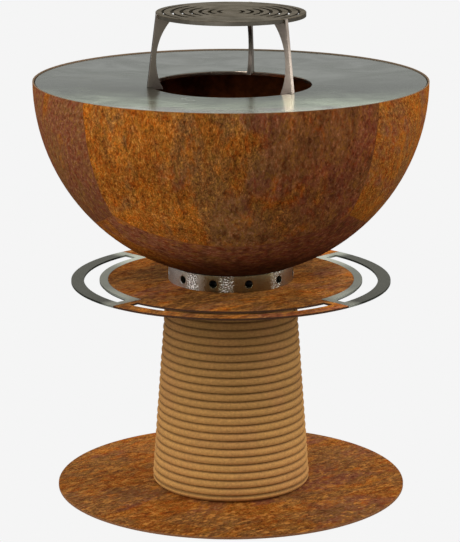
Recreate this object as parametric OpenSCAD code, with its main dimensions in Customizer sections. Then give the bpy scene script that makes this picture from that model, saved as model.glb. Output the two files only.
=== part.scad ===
// Fire pit grill: a fire bowl with a ring-shaped cooking plate, a loose trivet over the hole in the
// plate, and a layered pedestal with a shelf ring that turns to close the air vents.
// The axis of the whole object is Z, the ground is z = 0 and the front is towards -Y.

/* [Base and pedestal] */
// Radius of the base disc
base_r = 442; // [400:1:500]
// Thickness of the base disc
base_t = 6; // [5:0.5:10]
// Radius of the pedestal's beads at its foot
ped_r_bottom = 201.8; // [185:0.1:230]
// Radius of the pedestal's beads at its top
ped_r_top = 163.4; // [160:0.1:175]
// Wall of the pedestal shell
ped_wall = 42; // [30:1:45]
// Height of one printed layer
layer_h = 20; // [18:0.1:22]
// Height of each of the two lowest layers
low_layer_h = 18.7; // [17:0.1:20]
// Number of printed layers
layer_n = 26; // [22:1:28]
// Depth of the grooves between layers
groove_depth = 3.6; // [2:0.1:5]
// How far the lowest bead is drawn in at the ground
foot_inset = 13; // [6:0.5:18]

/* [Column] */
// Outer radius of the steel column
column_r = 57.15; // [45:0.05:65]
// Wall of the steel column
column_wall = 3.6; // [3:0.1:6]
// Radius of the foot flange
foot_flange_r = 115; // [105:1:125]
// Thickness of the foot flange
foot_flange_t = 10; // [8:1:14]
// Radius of the circle of foot bolts
foot_bolt_circle = 95; // [90:1:98]
// Number of foot bolts
foot_bolt_n = 6; // [4:2:8]
// Radius of a foot bolt's shank
foot_bolt_r = 5; // [4:0.5:6]
// Height of the gussets on the column's foot
gusset_h = 60; // [40:1:90]
// Thickness of a gusset
gusset_t = 8; // [6:1:12]
// Radius of the plate on the column's top
cap_r = 95; // [90:1:100]
// Thickness of the plate on the column's top
cap_t = 8; // [6:1:12]

/* [Turntable] */
// Radius of the head flange
head_r = 156; // [152:1:158]
// Thickness of the head flange
head_t = 7; // [6:0.5:10]
// Radius of the circle of head bolts
head_bolt_circle = 80; // [70:1:85]
// Number of head bolts
head_bolt_n = 4; // [3:1:6]
// Radius of a head bolt's shank
head_bolt_r = 5; // [4:0.5:6]
// Thickness of the slide ring under the shelf
slide_t = 2.8; // [2:0.1:4]
// Inner radius of the slide ring
slide_inner_r = 145.5; // [145:0.1:147]
// Radius of the bearing ring that the shelf turns on
hub_r = 130; // [128:0.5:131]
// Inner radius of the bearing ring
hub_bore = 110; // [108:1:112]
// Radius of the stop pin
stop_pin_r = 4; // [3:0.5:4.5]
// Radius of the circle that the stop pin stands on
stop_circle = 140; // [139:0.5:140.5]
// Turn of the shelf between its stops, in degrees
shelf_travel = 16; // [10:0.5:18]
// Running clearance of the shelf on its bearing ring
running_gap = 0.05; // [0.02:0.01:0.08]

/* [Shelf ring] */
// Outer radius of the shelf ring and its handles
shelf_r = 402; // [385:1:420]
// Thickness of the shelf ring
shelf_t = 5; // [4:0.5:8]
// Half of the angle that one handle takes up, in degrees
handle_half = 45; // [38:0.5:46]
// Width of a handle's outer band
handle_band_w = 32; // [28:1:40]
// Width of a handle's finger slot
finger_slot_w = 39; // [32:1:42]
// Width of a handle's inner band
handle_inner_w = 21; // [19:1:26]
// Width of the strip at each end of a handle
handle_end_w = 20; // [14:1:30]
// Width of the shelf ring outside the front and rear slots
slot_band_w = 36; // [30:1:44]
// Width of the front and rear slots
slot_w = 29; // [22:1:34]
// Half of the angle that the front slot takes up, in degrees
slot_half = 42; // [30:0.5:42]
// Seam between a handle and the shelf ring
seam_gap = 0.4; // [0.2:0.1:1]
// Thickness of the straps under the seams
strap_t = 4; // [3:0.5:6]
// Half of the angle of a strap, in degrees
strap_half = 38; // [30:1:40]
// How far a strap laps under each side of the seam
strap_lap = 17; // [15:1:18]
// Number of screws on each side of a seam
strap_screw_n = 4; // [3:1:6]
// Angle from a strap's end to its first screw, in degrees
strap_end_angle = 4; // [3:0.5:8]
// Radius of a strap screw's shank
strap_screw_r = 2.5; // [2:0.5:3]

/* [Air register] */
// Outer radius of the vent collar
collar_r = 157.5; // [153:0.5:159]
// Wall of the vent collar
collar_wall = 3; // [2:0.5:4]
// Height from the shelf to the bowl at the collar
collar_h = 43; // [40:0.5:55]
// Number of round vents
vent_n = 11; // [9:1:12]
// Radius of a vent
vent_r = 10; // [8:0.25:10.5]
// Height of the vents above the shelf
vent_h = 20.3; // [19:0.1:21]
// Gap between the vent collar and the air drum inside it
register_gap = 0.5; // [0.4:0.1:1]
// Wall of the air drum
drum_wall = 3; // [2.5:0.5:4]
// Thickness of the air drum's floor
drum_floor_t = 4; // [3:0.5:5]
// Inner radius of the air drum's floor
drum_floor_bore = 104; // [100:1:106]
// Thickness of the air drum's upper lip
drum_lip_t = 3.2; // [3:0.1:3.4]
// Inner radius of the air drum's upper lip
drum_lip_bore = 132; // [131:0.5:133]

/* [Bowl] */
// Outer radius of the bowl, a half sphere
bowl_r = 490; // [470:1:510]
// Wall of the bowl
bowl_wall = 4; // [3:0.5:6]
// Radius of the opening in the bowl's bottom
bowl_opening = 118; // [116:1:122]
// Inner radius of the seat ring under the bowl
seat_inner_r = 136; // [134:0.5:137]
// Number of lugs that carry the cooking plate
lug_n = 4; // [3:1:6]
// Length of a lug from the bowl's wall inwards
lug_l = 40; // [30:1:60]
// Height of a lug at the bowl's wall
lug_h = 46; // [35:1:70]
// Thickness of a lug
lug_t = 10; // [8:1:14]

/* [Cooking plate] */
// Radius of the hole in the cooking plate
hole_r = 200; // [195:1:204]
// Thickness of the cooking plate
plate_t = 10; // [8:0.5:14]
// How far the cooking plate's edge lies below the rim
plate_sink = 2.5; // [1:0.5:5]
// Fall of the cooking plate from its edge to its hole
plate_fall = 11; // [6:0.5:16]
// Gap between the cooking plate and the bowl's wall
plate_gap = 2; // [1:0.5:5]

/* [Trivet] */
// Radius of the trivet's plate
trivet_r = 185.5; // [180:0.5:190]
// Thickness of the trivet's plate
trivet_t = 10; // [8:0.5:12]
// Height of the trivet's top above the plate's hole
trivet_h = 180; // [165:1:200]
// Number of concentric slots in the trivet
trivet_slot_n = 7; // [4:1:7]
// Radius of the smallest slot's middle
trivet_slot_first = 30; // [26:1:34]
// Distance from one slot to the next
trivet_slot_pitch = 23; // [20:0.5:23]
// Width of a slot
trivet_slot_w = 9; // [6:0.5:11]
// Width of the outermost slot
trivet_slot_rim_w = 6; // [4:0.5:9]
// Half of the angle that a slot takes up, in degrees
trivet_slot_half = 45; // [35:1:60]
// Thickness of a leg
leg_t = 10; // [8:0.5:12]
// Direction of the left leg, in degrees from +X
leg_left_angle = 195; // [190:1:200]
// Direction of the right leg, in degrees from +X
leg_right_angle = 315; // [310:1:320]
// Direction of the rear leg, in degrees from +X
leg_rear_angle = 75; // [70:1:80]
// Width of the finger of a leg outside the trivet's edge
finger_w = 3.8; // [3:0.1:9]
// Radius at which the outer corner of a foot stands
foot_out_r = 213; // [209:0.5:225]
// Radius of the round cut-out behind a leg
leg_arc_r = 149; // [145:1:160]
// Width of a leg at its waist
leg_waist = 14; // [8:0.5:16]
// Height of a leg's waist above the plate's hole
leg_waist_h = 65; // [60:1:90]
// Width of a leg's finger and tab before the cut-out behind them
leg_depth = 58; // [45:1:64]
// How far the foot's locating tab hangs into the hole
tab_drop = 5; // [3:0.5:8]
// Gap between the locating tabs and the hole's wall
tab_gap = 1.5; // [1:0.5:3]

/* [Fire basket] */
// Radius of the fire grate
grate_r = 165; // [160:1:168]
// Thickness of the fire grate
grate_t = 10; // [8:1:14]
// Width of the grate's slots
grate_slot_w = 12; // [8:1:14]
// Distance from one grate slot to the next
grate_slot_pitch = 26; // [24:1:30]
// Width of the solid rim of the grate
grate_rim = 16; // [12:1:22]
// Outer radius of the ash pan
pan_r = 110; // [100:1:111]
// Depth of the ash pan
pan_h = 22; // [16:1:24]
// Wall of the ash pan
pan_wall = 2; // [1.5:0.5:3]
// Height of the ash pan above the drum's floor
pan_lift = 3; // [2:0.5:6]
// Radius of a hanger rod
rod_r = 4; // [3:0.5:5]
// Radius of the circle of hanger rods
rod_circle = 91; // [86:1:93]
// Number of hanger rods
rod_n = 3; // [3:1:4]
// Radius of the solid pads of the grate round the rods
rod_pad_r = 10; // [8:0.5:12]

/* [Hidden] */

$fn = 96;
// Overrun of a cut past the face that it opens
cut = 1;
// Gap between a loose piece and what it stands on
rest_gap = 0.2;
// Radial clearance of a bolt or rod in its hole
bolt_gap = 0.2;
// Height of a screw's head
head_h = 5;
// Height of a strap screw's head
strap_head_h = 2.4;
// Radius of a head relative to its shank
head_ratio = 1.8;
// Radius of the screws that hold the drum and the bowl
bolt_r_small = 3;
// Chamfer on the edges that hands and pans meet
edge_chamfer = 0.8;
// Points on the bulge of one printed layer
bead_steps = 6;
// Colours
corten = [0.44, 0.25, 0.13];
stainless = [0.66, 0.66, 0.64];
raw_steel = [0.36, 0.37, 0.38];
plate_steel = [0.50, 0.52, 0.49];
dark_steel = [0.36, 0.33, 0.29];
mineral = [0.66, 0.50, 0.31];
bronze = [0.60, 0.46, 0.25];
iron = [0.16, 0.16, 0.16];

// Height of seam i of the printed layers above the base disc
function seam_z(i) = i < 2 ? i * low_layer_h : 2 * low_layer_h + (i - 2) * layer_h;
// Power of the curve of a bead's groove, and of the draw of the lowest bead
groove_curve = 3;
foot_curve = 2.4;
// Height of a nut
nut_h = 8;
// Height of a foot bolt's end above its nut
bolt_end_h = 2;
// Height of the seat ring
seat_h = 14;
// Height of a lug at its tip
lug_tip_h = 11;
// Share of the shelf's thickness that its screws reach into
strap_screw_depth = 0.7;
ped_h = seam_z(layer_n);
ped_top = base_t + ped_h;
cap_z = ped_top - cap_t;
column_z = base_t + foot_flange_t;
head_z = ped_top;
slide_z = head_z + head_t;
shelf_z = slide_z + slide_t;
shelf_top = shelf_z + shelf_t;
drum_floor_z = shelf_top + rest_gap;
drum_r = collar_r - collar_wall - register_gap;
vent_z = shelf_top + vent_h;
vent_pitch = 360 / vent_n;
// The rear vent is straight behind the axis
first_vent = 90;
// Height of a sphere of radius r below its centre, at distance x from the axis
function sphere_drop(r, x) = sqrt(r * r - x * x);
bowl_z = shelf_top + collar_h + sphere_drop(bowl_r, collar_r);
finger_outer_r = shelf_r - handle_band_w;
finger_inner_r = finger_outer_r - finger_slot_w;
handle_inner_r = finger_inner_r - handle_inner_w;
slot_outer_r = shelf_r - slot_band_w;
slot_inner_r = slot_outer_r - slot_w;
// Angle that the seam takes at the handle's inner corners
seam_angle = asin(seam_gap / handle_inner_r);
strap_in_r = handle_inner_r - seam_gap - strap_lap / 2;
strap_out_r = handle_inner_r + strap_lap / 2;
drum_screw_circle = (hub_r + hub_bore) / 2;
// The pin stands at the front left, and the slot round it lets the shelf turn one way
stop_angle = 225;
bowl_inner_r = bowl_r - bowl_wall;
collar_top = bowl_z - sphere_drop(bowl_r, collar_r - collar_wall) - 2 * rest_gap;
drum_top = bowl_z - sphere_drop(bowl_r, drum_lip_bore) - rest_gap;
seat_outer_r = drum_r - rest_gap;
seat_bolt_circle = drum_r - drum_wall - bolt_r_small * head_ratio - 2 * bolt_gap;
// Depth of the threads in the seat ring, where it is thinnest
seat_thread = bowl_z - sphere_drop(bowl_r, seat_bolt_circle - bolt_r_small) - drum_top - rest_gap;
plate_edge_z = bowl_z - plate_sink;
plate_hole_z = plate_edge_z - plate_fall;
plate_r = sphere_drop(bowl_inner_r, plate_sink) - plate_gap;
// Height of the cooking plate's top at distance x from the axis
function plate_top(x) = plate_hole_z + plate_fall * (x - hole_r) / (plate_r - hole_r);
trivet_z = plate_hole_z + trivet_h;
grate_z = bowl_z - sphere_drop(bowl_inner_r, grate_r) + rest_gap;
pan_z = drum_floor_z + drum_floor_t + pan_lift;

// Flat ring between two radii
module ring(outer, inner, h, z = 0) {
    translate([0, 0, z]) difference() {
        cylinder(r = outer, h = h);
        translate([0, 0, -cut]) cylinder(r = inner, h = h + 2 * cut);
    }
}

// Flat triangle from the axis that covers a sector of half-angle a about +X, moved out by d
module wedge(a, d = 0) {
    reach = 3 * shelf_r;
    translate([d, 0]) polygon([[0, 0], [reach * cos(a), -reach * sin(a)], [reach * cos(a), reach * sin(a)]]);
}

// Flat outline of an arc-shaped band about +X
module band(outer, inner, a, d = 0) {
    intersection() {
        difference() {
            circle(r = outer, $fn = 180);
            circle(r = inner, $fn = 180);
        }
        wedge(a, d);
    }
}

// Copies around the axis, the first one at angle start
module around(n, start = 0) {
    for (i = [0 : n - 1]) rotate([0, 0, start + i * 360 / n]) children();
}

// Base and pedestal
module base_disc() {
    color(corten) difference() {
        union() {
            cylinder(r = base_r, h = base_t - edge_chamfer);
            translate([0, 0, base_t - edge_chamfer])
                cylinder(r1 = base_r, r2 = base_r - edge_chamfer, h = edge_chamfer);
        }
        around(foot_bolt_n) translate([foot_bolt_circle, 0, 0]) {
            translate([0, 0, -cut]) cylinder(r = foot_bolt_r + bolt_gap, h = base_t + 2 * cut);
            countersink(foot_bolt_r + bolt_gap);
        }
    }
}

// Cone cut from the underside for a countersunk head on a shank of radius r
module countersink(r) {
    translate([0, 0, -cut]) cylinder(r = r * head_ratio, h = cut + bolt_gap);
    translate([0, 0, bolt_gap]) cylinder(r1 = r * head_ratio, r2 = r, h = r * (head_ratio - 1));
}

module foot_flange() {
    color(raw_steel) difference() {
        translate([0, 0, base_t]) cylinder(r = foot_flange_r, h = foot_flange_t);
        around(foot_bolt_n) translate([foot_bolt_circle, 0, base_t - cut])
            cylinder(r = foot_bolt_r + bolt_gap, h = foot_flange_t + 2 * cut);
    }
}

module foot_gussets() {
    reach = foot_flange_r - column_r - 2 * head_h;
    color(raw_steel) difference() {
        around(foot_bolt_n, 180 / foot_bolt_n) translate([column_r - column_wall / 2, gusset_t / 2, column_z])
            rotate([90, 0, 0]) linear_extrude(gusset_t)
                polygon([[0, 0], [reach, 0], [reach, head_h], [head_h, gusset_h], [0, gusset_h]]);
        translate([0, 0, column_z - cut]) cylinder(r = column_r, h = gusset_h + 2 * cut);
    }
}

module foot_bolts() {
    color(stainless) around(foot_bolt_n) translate([foot_bolt_circle, 0, 0]) {
        translate([0, 0, 2 * bolt_gap]) cylinder(
            r1 = foot_bolt_r * head_ratio - 2 * bolt_gap,
            r2 = foot_bolt_r,
            h = foot_bolt_r * (head_ratio - 1)
        );
        translate([0, 0, 2 * bolt_gap]) cylinder(r = foot_bolt_r, h = column_z + nut_h + bolt_end_h);
    }
}

module foot_nuts() {
    color(stainless) around(foot_bolt_n) translate([foot_bolt_circle, 0, column_z]) difference() {
        cylinder(r = foot_bolt_r * head_ratio, h = nut_h, $fn = 6);
        translate([0, 0, -cut]) cylinder(r = foot_bolt_r, h = nut_h + 2 * cut);
    }
}

module column_tube() {
    color(raw_steel) ring(column_r, column_r - column_wall, cap_z - column_z, column_z);
}

module column_cap() {
    color(raw_steel) difference() {
        translate([0, 0, cap_z]) cylinder(r = cap_r, h = cap_t);
        around(head_bolt_n) translate([head_bolt_circle, 0, cap_z - cut])
            cylinder(r = head_bolt_r, h = cap_t + 2 * cut);
    }
}

// Radius of the beads' crests at height z above the base disc
function crest_r(z) = ped_r_bottom + (ped_r_top - ped_r_bottom) * z / ped_h;
// Share of the groove's depth at t along a bead, where 0 and 1 are its seams
function groove(t) = pow(abs(2 * t - 1), groove_curve);
// Extra draw of the lowest bead towards the ground
function foot_draw(i, t) = i == 0 ? foot_inset * pow(1 - t, foot_curve) : 0;
function bead(i) = [
    for (k = [0 : bead_steps - 1]) let (t = k / bead_steps, z = seam_z(i) + t * (seam_z(i + 1) - seam_z(i)))
        [crest_r(z) - groove_depth * groove(t) - foot_draw(i, t), z]
];
function shell_outline() = concat(
    [for (i = [0 : layer_n - 1]) each bead(i)],
    [[crest_r(ped_h) - groove_depth, ped_h], [crest_r(ped_h) - ped_wall, ped_h], [crest_r(0) - ped_wall, 0]]
);

module pedestal_shell() {
    color(mineral) translate([0, 0, base_t]) rotate_extrude() polygon(shell_outline());
}

// Turntable on the column
module head_flange() {
    spigot_r = ped_r_top - ped_wall - 2 * rest_gap;
    color(raw_steel) difference() {
        union() {
            translate([0, 0, head_z]) cylinder(r = head_r, h = head_t);
            ring(spigot_r, cap_r + head_h, cap_t, cap_z);
        }
        around(head_bolt_n) translate([head_bolt_circle, 0, head_z - cut])
            cylinder(r = head_bolt_r + bolt_gap, h = head_t + 2 * cut);
        around(foot_bolt_n) translate([drum_screw_circle, 0, head_z + head_t / 2])
            cylinder(r = bolt_r_small, h = head_t);
        rotate([0, 0, stop_angle]) translate([stop_circle, 0, head_z + head_t / 2])
            cylinder(r = stop_pin_r, h = head_t);
    }
}

module head_bolts() {
    color(stainless) around(head_bolt_n) translate([head_bolt_circle, 0, cap_z]) {
        cylinder(r = head_bolt_r - bolt_gap / 2, h = cap_t + head_t + head_h / 2);
        translate([0, 0, cap_t + head_t]) cylinder(r = head_bolt_r * head_ratio, h = head_h);
    }
}

module slide_ring() {
    color(bronze) ring(head_r, slide_inner_r, slide_t, slide_z);
}

module hub_ring() {
    color(raw_steel) difference() {
        ring(hub_r, hub_bore, drum_floor_z - slide_z, slide_z);
        drum_screw_holes(slide_z);
    }
}

module drum_screw_holes(z) {
    around(foot_bolt_n) translate([drum_screw_circle, 0, z - cut])
        cylinder(r = bolt_r_small + bolt_gap, h = drum_floor_z + drum_floor_t - z + 2 * cut);
}

module stop_pin() {
    color(stainless) rotate([0, 0, stop_angle]) translate([stop_circle, 0, head_z + head_t / 2])
        cylinder(r = stop_pin_r - bolt_gap / 2, h = shelf_top - head_z - head_t / 2);
}

// Round vents through a wall that ends at radius r
module vents(r, hole_r) {
    around(vent_n, first_vent) translate([r - 4 * collar_wall, 0, vent_z]) rotate([0, 90, 0])
        cylinder(r = hole_r, h = 8 * collar_wall);
}

module air_drum() {
    color(raw_steel) difference() {
        union() {
            ring(drum_r, drum_r - drum_wall, drum_top - drum_floor_z, drum_floor_z);
            ring(drum_r, drum_floor_bore, drum_floor_t, drum_floor_z);
            ring(drum_r, drum_lip_bore, drum_lip_t, drum_top - drum_lip_t);
        }
        vents(drum_r, vent_r);
        drum_screw_holes(drum_floor_z);
        bowl_bolt_places() translate([0, 0, drum_top - drum_lip_t - cut])
            cylinder(r = bolt_r_small + bolt_gap, h = drum_lip_t + 2 * cut);
    }
}

module drum_screws() {
    color(stainless) around(foot_bolt_n) translate([drum_screw_circle, 0, 0]) {
        translate([0, 0, head_z + head_t / 2 + bolt_gap])
            cylinder(r = bolt_r_small - bolt_gap / 2, h = drum_floor_z + drum_floor_t - head_z - head_t / 2);
        translate([0, 0, drum_floor_z + drum_floor_t])
            cylinder(r = bolt_r_small * head_ratio, h = bolt_r_small);
    }
}

// The bowl's bolts stand between vents, a third of the way round from each other
module bowl_bolt_places() {
    for (k = [0, round(vent_n / 3), round(2 * vent_n / 3)])
        rotate([0, 0, first_vent + (k + 0.5) * vent_pitch]) translate([seat_bolt_circle, 0, 0]) children();
}

module bowl_seat() {
    color(raw_steel) difference() {
        ring(seat_outer_r, seat_inner_r, seat_h, drum_top);
        translate([0, 0, bowl_z]) sphere(r = bowl_r, $fn = 180);
        bowl_bolt_places() translate([0, 0, drum_top - cut])
            cylinder(r = bolt_r_small, h = cut + seat_thread);
    }
}

module bowl_bolts() {
    bottom = drum_top - drum_lip_t - bolt_r_small;
    color(stainless) bowl_bolt_places() {
        translate([0, 0, bottom]) cylinder(r = bolt_r_small * head_ratio, h = bolt_r_small);
        translate([0, 0, bottom])
            cylinder(r = bolt_r_small - bolt_gap / 2, h = bolt_r_small + drum_lip_t + seat_thread - rest_gap);
    }
}

// Bowl
module fire_bowl() {
    color(corten) translate([0, 0, bowl_z]) difference() {
        sphere(r = bowl_r, $fn = 180);
        sphere(r = bowl_inner_r, $fn = 180);
        cylinder(r = bowl_r + cut, h = bowl_r + cut);
        translate([0, 0, -bowl_r - cut]) cylinder(r = bowl_opening, h = bowl_r);
    }
}

module plate_lugs() {
    inner = plate_r - lug_l;
    top_in = plate_top(inner) - plate_t - rest_gap;
    top_out = plate_top(bowl_r) - plate_t - rest_gap;
    color(raw_steel) intersection() {
        around(lug_n, 180 / lug_n) translate([0, lug_t / 2, 0]) rotate([90, 0, 0]) linear_extrude(lug_t)
            polygon([
                [inner, top_in], [bowl_r, top_out],
                [bowl_r, top_out - lug_h], [inner, top_in - lug_tip_h]
            ]);
        translate([0, 0, bowl_z]) sphere(r = bowl_inner_r, $fn = 180);
    }
}

// Shelf ring, which turns with the vent collar and the handles
module shelf_disc() {
    color(corten) difference() {
        translate([0, 0, shelf_z]) linear_extrude(shelf_t) difference() {
            circle(r = shelf_r, $fn = 180);
            circle(r = hub_r + running_gap, $fn = 180);
            for (side = [0, 180]) rotate(side)
                band(shelf_r + cut, handle_inner_r - seam_gap, handle_half + seam_angle);
            for (side = [90, 270]) rotate(side) band(slot_outer_r, slot_inner_r, slot_half);
            rotate(stop_angle) stop_slot();
        }
        strap_screw_places(strap_in_r) cylinder(r = strap_screw_r, h = shelf_t * strap_screw_depth);
    }
}

// Slot round the stop pin, as long as the shelf's travel
module stop_slot() {
    pin_half = asin((stop_pin_r + rest_gap) / stop_circle);
    rotate(-shelf_travel / 2) band(stop_circle + stop_pin_r + rest_gap, stop_circle - stop_pin_r - rest_gap,
        shelf_travel / 2 + pin_half);
}

module vent_collar() {
    color(stainless) difference() {
        ring(collar_r, collar_r - collar_wall, collar_top - shelf_top, shelf_top);
        vents(collar_r, vent_r);
    }
}

// A handle on the +X side
module handle() {
    color(stainless) difference() {
        translate([0, 0, shelf_z]) linear_extrude(shelf_t) difference() {
            band(shelf_r, handle_inner_r, handle_half);
            band(finger_outer_r, finger_inner_r, handle_half, handle_end_w / sin(handle_half));
        }
        strap_screws_at(strap_out_r) cylinder(r = strap_screw_r, h = shelf_t * strap_screw_depth);
    }
}

module handle_right() {
    handle();
}

module handle_left() {
    rotate([0, 0, 180]) handle();
}

// Screw places along an arc of radius r about +X, on the shelf's underside
module strap_screws_at(r) {
    first = strap_end_angle - strap_half;
    step = -2 * first / (strap_screw_n - 1);
    for (i = [0 : strap_screw_n - 1]) rotate([0, 0, first + i * step]) translate([r, 0, shelf_z]) children();
}

module strap_screw_places(r) {
    for (side = [0, 180]) rotate([0, 0, side]) strap_screws_at(r) children();
}

module strap() {
    color(raw_steel) difference() {
        translate([0, 0, shelf_z - strap_t]) linear_extrude(strap_t)
            band(handle_inner_r + strap_lap, handle_inner_r - seam_gap - strap_lap, strap_half);
        for (r = [strap_in_r, strap_out_r])
            strap_screws_at(r) translate([0, 0, -strap_t - cut])
                cylinder(r = strap_screw_r, h = strap_t + 2 * cut);
    }
}

module strap_right() {
    strap();
}

module strap_left() {
    rotate([0, 0, 180]) strap();
}

module strap_screws() {
    color(stainless) for (r = [strap_in_r, strap_out_r])
        strap_screw_places(r) translate([0, 0, -strap_t - strap_head_h]) {
            cylinder(r = strap_screw_r * head_ratio, h = strap_head_h);
            cylinder(r = strap_screw_r - bolt_gap / 2, h = strap_head_h + strap_t + shelf_t / 2);
        }
}

// Cooking plate, a shallow funnel that drains towards its hole
module cooking_plate() {
    c = edge_chamfer;
    color(plate_steel) rotate_extrude($fn = 180) polygon([
        [hole_r, plate_hole_z - plate_t], [hole_r, plate_hole_z - c], [hole_r + c, plate_top(hole_r + c)],
        [plate_r - c, plate_top(plate_r - c)], [plate_r, plate_edge_z - c], [plate_r, plate_edge_z - plate_t]
    ]);
}

// Trivet
module trivet_plate() {
    c = edge_chamfer;
    last = trivet_slot_n - 1;
    color(dark_steel) translate([0, 0, trivet_z - trivet_t]) difference() {
        union() {
            cylinder(r = trivet_r, h = trivet_t - c);
            translate([0, 0, trivet_t - c]) cylinder(r1 = trivet_r, r2 = trivet_r - c, h = c);
        }
        translate([0, 0, -cut]) linear_extrude(trivet_t + 2 * cut) for (side = [0, 180], i = [0 : last]) {
            r = trivet_slot_first + i * trivet_slot_pitch;
            w = i == last ? trivet_slot_rim_w : trivet_slot_w;
            rotate(side) band(r + w / 2, r - w / 2, trivet_slot_half);
        }
    }
}

// One leg, drawn in the plane through the axis and set out along +X. Its finger holds the trivet's
// edge, its foot stands on the cooking plate and its tab hangs in the hole.
module leg() {
    finger_in = trivet_r + rest_gap / 2;
    finger_out = finger_in + finger_w;
    under = trivet_z - trivet_t;
    heel = hole_r - tab_gap;
    sole = plate_hole_z + rest_gap;
    tip = sole - tab_drop;
    foot_z = plate_top(foot_out_r) + rest_gap;
    mid_z = plate_hole_z + leg_waist_h;
    waist_out = finger_out + (foot_out_r - finger_out) * (trivet_z - mid_z) / (trivet_z - foot_z);
    arc_x = waist_out - leg_waist - leg_arc_r;
    color(dark_steel) translate([0, leg_t / 2, 0]) rotate([90, 0, 0]) linear_extrude(leg_t) difference() {
        polygon([
            [finger_in, trivet_z], [finger_out, trivet_z], [foot_out_r, foot_z], [hole_r, sole], [heel, sole],
            [heel, tip], [heel - leg_depth, tip], [heel - leg_depth, under], [finger_in, under]
        ]);
        translate([arc_x, mid_z]) circle(r = leg_arc_r, $fn = 180);
    }
}

module leg_left() {
    rotate([0, 0, leg_left_angle]) leg();
}

module leg_right() {
    rotate([0, 0, leg_right_angle]) leg();
}

module leg_rear() {
    rotate([0, 0, leg_rear_angle]) leg();
}

// Fire basket: the grate, with the ash pan hung under it
module fire_grate() {
    field = grate_r - grate_rim;
    rows = floor(field / grate_slot_pitch);
    color(iron) difference() {
        translate([0, 0, grate_z]) cylinder(r = grate_r, h = grate_t);
        translate([0, 0, grate_z - cut]) linear_extrude(grate_t + 2 * cut) intersection() {
            difference() {
                circle(r = field);
                around(rod_n, 90) translate([rod_circle, 0]) circle(r = rod_pad_r);
            }
            for (i = [-rows : rows], side = [-1, 1])
                translate([i * grate_slot_pitch - grate_slot_w / 2, side > 0 ? grate_rim / 2 : -field])
                    square([grate_slot_w, field - grate_rim / 2]);
        }
        around(rod_n, 90) translate([rod_circle, 0, grate_z - cut])
            cylinder(r = rod_r, h = cut + grate_t / 2);
    }
}

module ash_pan() {
    color(raw_steel) translate([0, 0, pan_z]) cylinder(r = pan_r, h = pan_wall);
}

module pan_hoop() {
    color(raw_steel) ring(pan_r, pan_r - pan_wall, pan_h - pan_wall, pan_z + pan_wall);
}

module hanger_rods() {
    bottom = pan_z + pan_wall;
    color(iron) around(rod_n, 90) translate([rod_circle, 0, bottom])
        cylinder(r = rod_r - bolt_gap / 2, h = grate_z + grate_t / 2 - bottom - rest_gap);
}

base_disc();
foot_flange();
foot_gussets();
foot_bolts();
foot_nuts();
column_tube();
column_cap();
pedestal_shell();
head_flange();
head_bolts();
slide_ring();
hub_ring();
stop_pin();
air_drum();
drum_screws();
bowl_seat();
bowl_bolts();
fire_bowl();
plate_lugs();
shelf_disc();
vent_collar();
handle_left();
handle_right();
strap_left();
strap_right();
strap_screws();
cooking_plate();
trivet_plate();
leg_left();
leg_right();
leg_rear();
fire_grate();
ash_pan();
pan_hoop();
hanger_rods();
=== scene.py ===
"""Fire pit grill: a fire bowl with a cooking plate and a trivet on a layered pedestal.

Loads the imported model, gives every piece its finish, builds the pedestal's printed layers and sets up a
plain studio. Lengths are in metres, the ground is z = 0, the front is towards -Y.
"""

import math

import bmesh
import bpy
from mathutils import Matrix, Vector, noise


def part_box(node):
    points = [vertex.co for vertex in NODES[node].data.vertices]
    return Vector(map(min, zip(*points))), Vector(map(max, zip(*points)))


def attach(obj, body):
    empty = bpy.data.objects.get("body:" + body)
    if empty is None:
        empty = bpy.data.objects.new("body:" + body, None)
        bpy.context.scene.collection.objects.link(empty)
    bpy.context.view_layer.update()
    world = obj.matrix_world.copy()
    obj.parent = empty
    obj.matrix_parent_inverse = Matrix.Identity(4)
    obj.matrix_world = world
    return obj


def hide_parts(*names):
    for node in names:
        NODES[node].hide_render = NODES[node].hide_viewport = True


bl_info = {
    "name": "Fire Pit Grill",
    "version": (1, 0, 0),
    "blender": (4, 5, 0),
    "location": "View3D > Sidebar > Fire Pit",
    "description": "Finishes, printed pedestal and studio for the packed fire pit grill",
    "category": "Object",
}

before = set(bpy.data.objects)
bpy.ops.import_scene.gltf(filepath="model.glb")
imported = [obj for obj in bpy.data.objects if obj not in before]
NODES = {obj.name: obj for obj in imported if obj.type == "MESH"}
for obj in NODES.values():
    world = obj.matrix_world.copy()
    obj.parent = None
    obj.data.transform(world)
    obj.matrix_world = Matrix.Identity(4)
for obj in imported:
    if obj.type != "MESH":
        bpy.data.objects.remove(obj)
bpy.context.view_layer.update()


def from_screen(red, green, blue):
    """Turns a colour as a screen shows it, 0 to 255, into the linear values that Blender takes."""
    def linear(value):
        value /= 255
        return value / 12.92 if value <= 0.04045 else ((value + 0.055) / 1.055) ** 2.4
    return linear(red), linear(green), linear(blue)


# Fixed colours, sizes and places

SOOT = from_screen(98, 50, 20)
WIPED_RIM = from_screen(132, 118, 98)
RED_CAST = (1.0, 0.84, 0.8)
EMBER_CAST = (1.0, 0.66, 0.42)
BASE_CUT = (from_screen(96, 62, 40), from_screen(168, 118, 80))
SHELF_CUT = (from_screen(46, 32, 24), from_screen(92, 62, 44))
PLATE_STAIN = from_screen(112, 118, 100)
# painted highlight on the cooking plate's hole wall
PLATE_WALL_HIGHLIGHT = from_screen(214, 194, 174)
TRIVET_STAIN = from_screen(50, 42, 32)
TRIVET_EDGE = from_screen(124, 117, 106)
TRIVET_SHEEN = from_screen(241, 237, 224)
# painted reflection, highlight and glints of the vent collar
COLLAR_RUST_REFLECTION = from_screen(147, 138, 106)
COLLAR_BAND_REFLECTION = from_screen(176, 168, 153)
COLLAR_SIDE_HIGHLIGHT = from_screen(222, 230, 232)
PAINTED_GLINT = from_screen(255, 250, 245)
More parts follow.
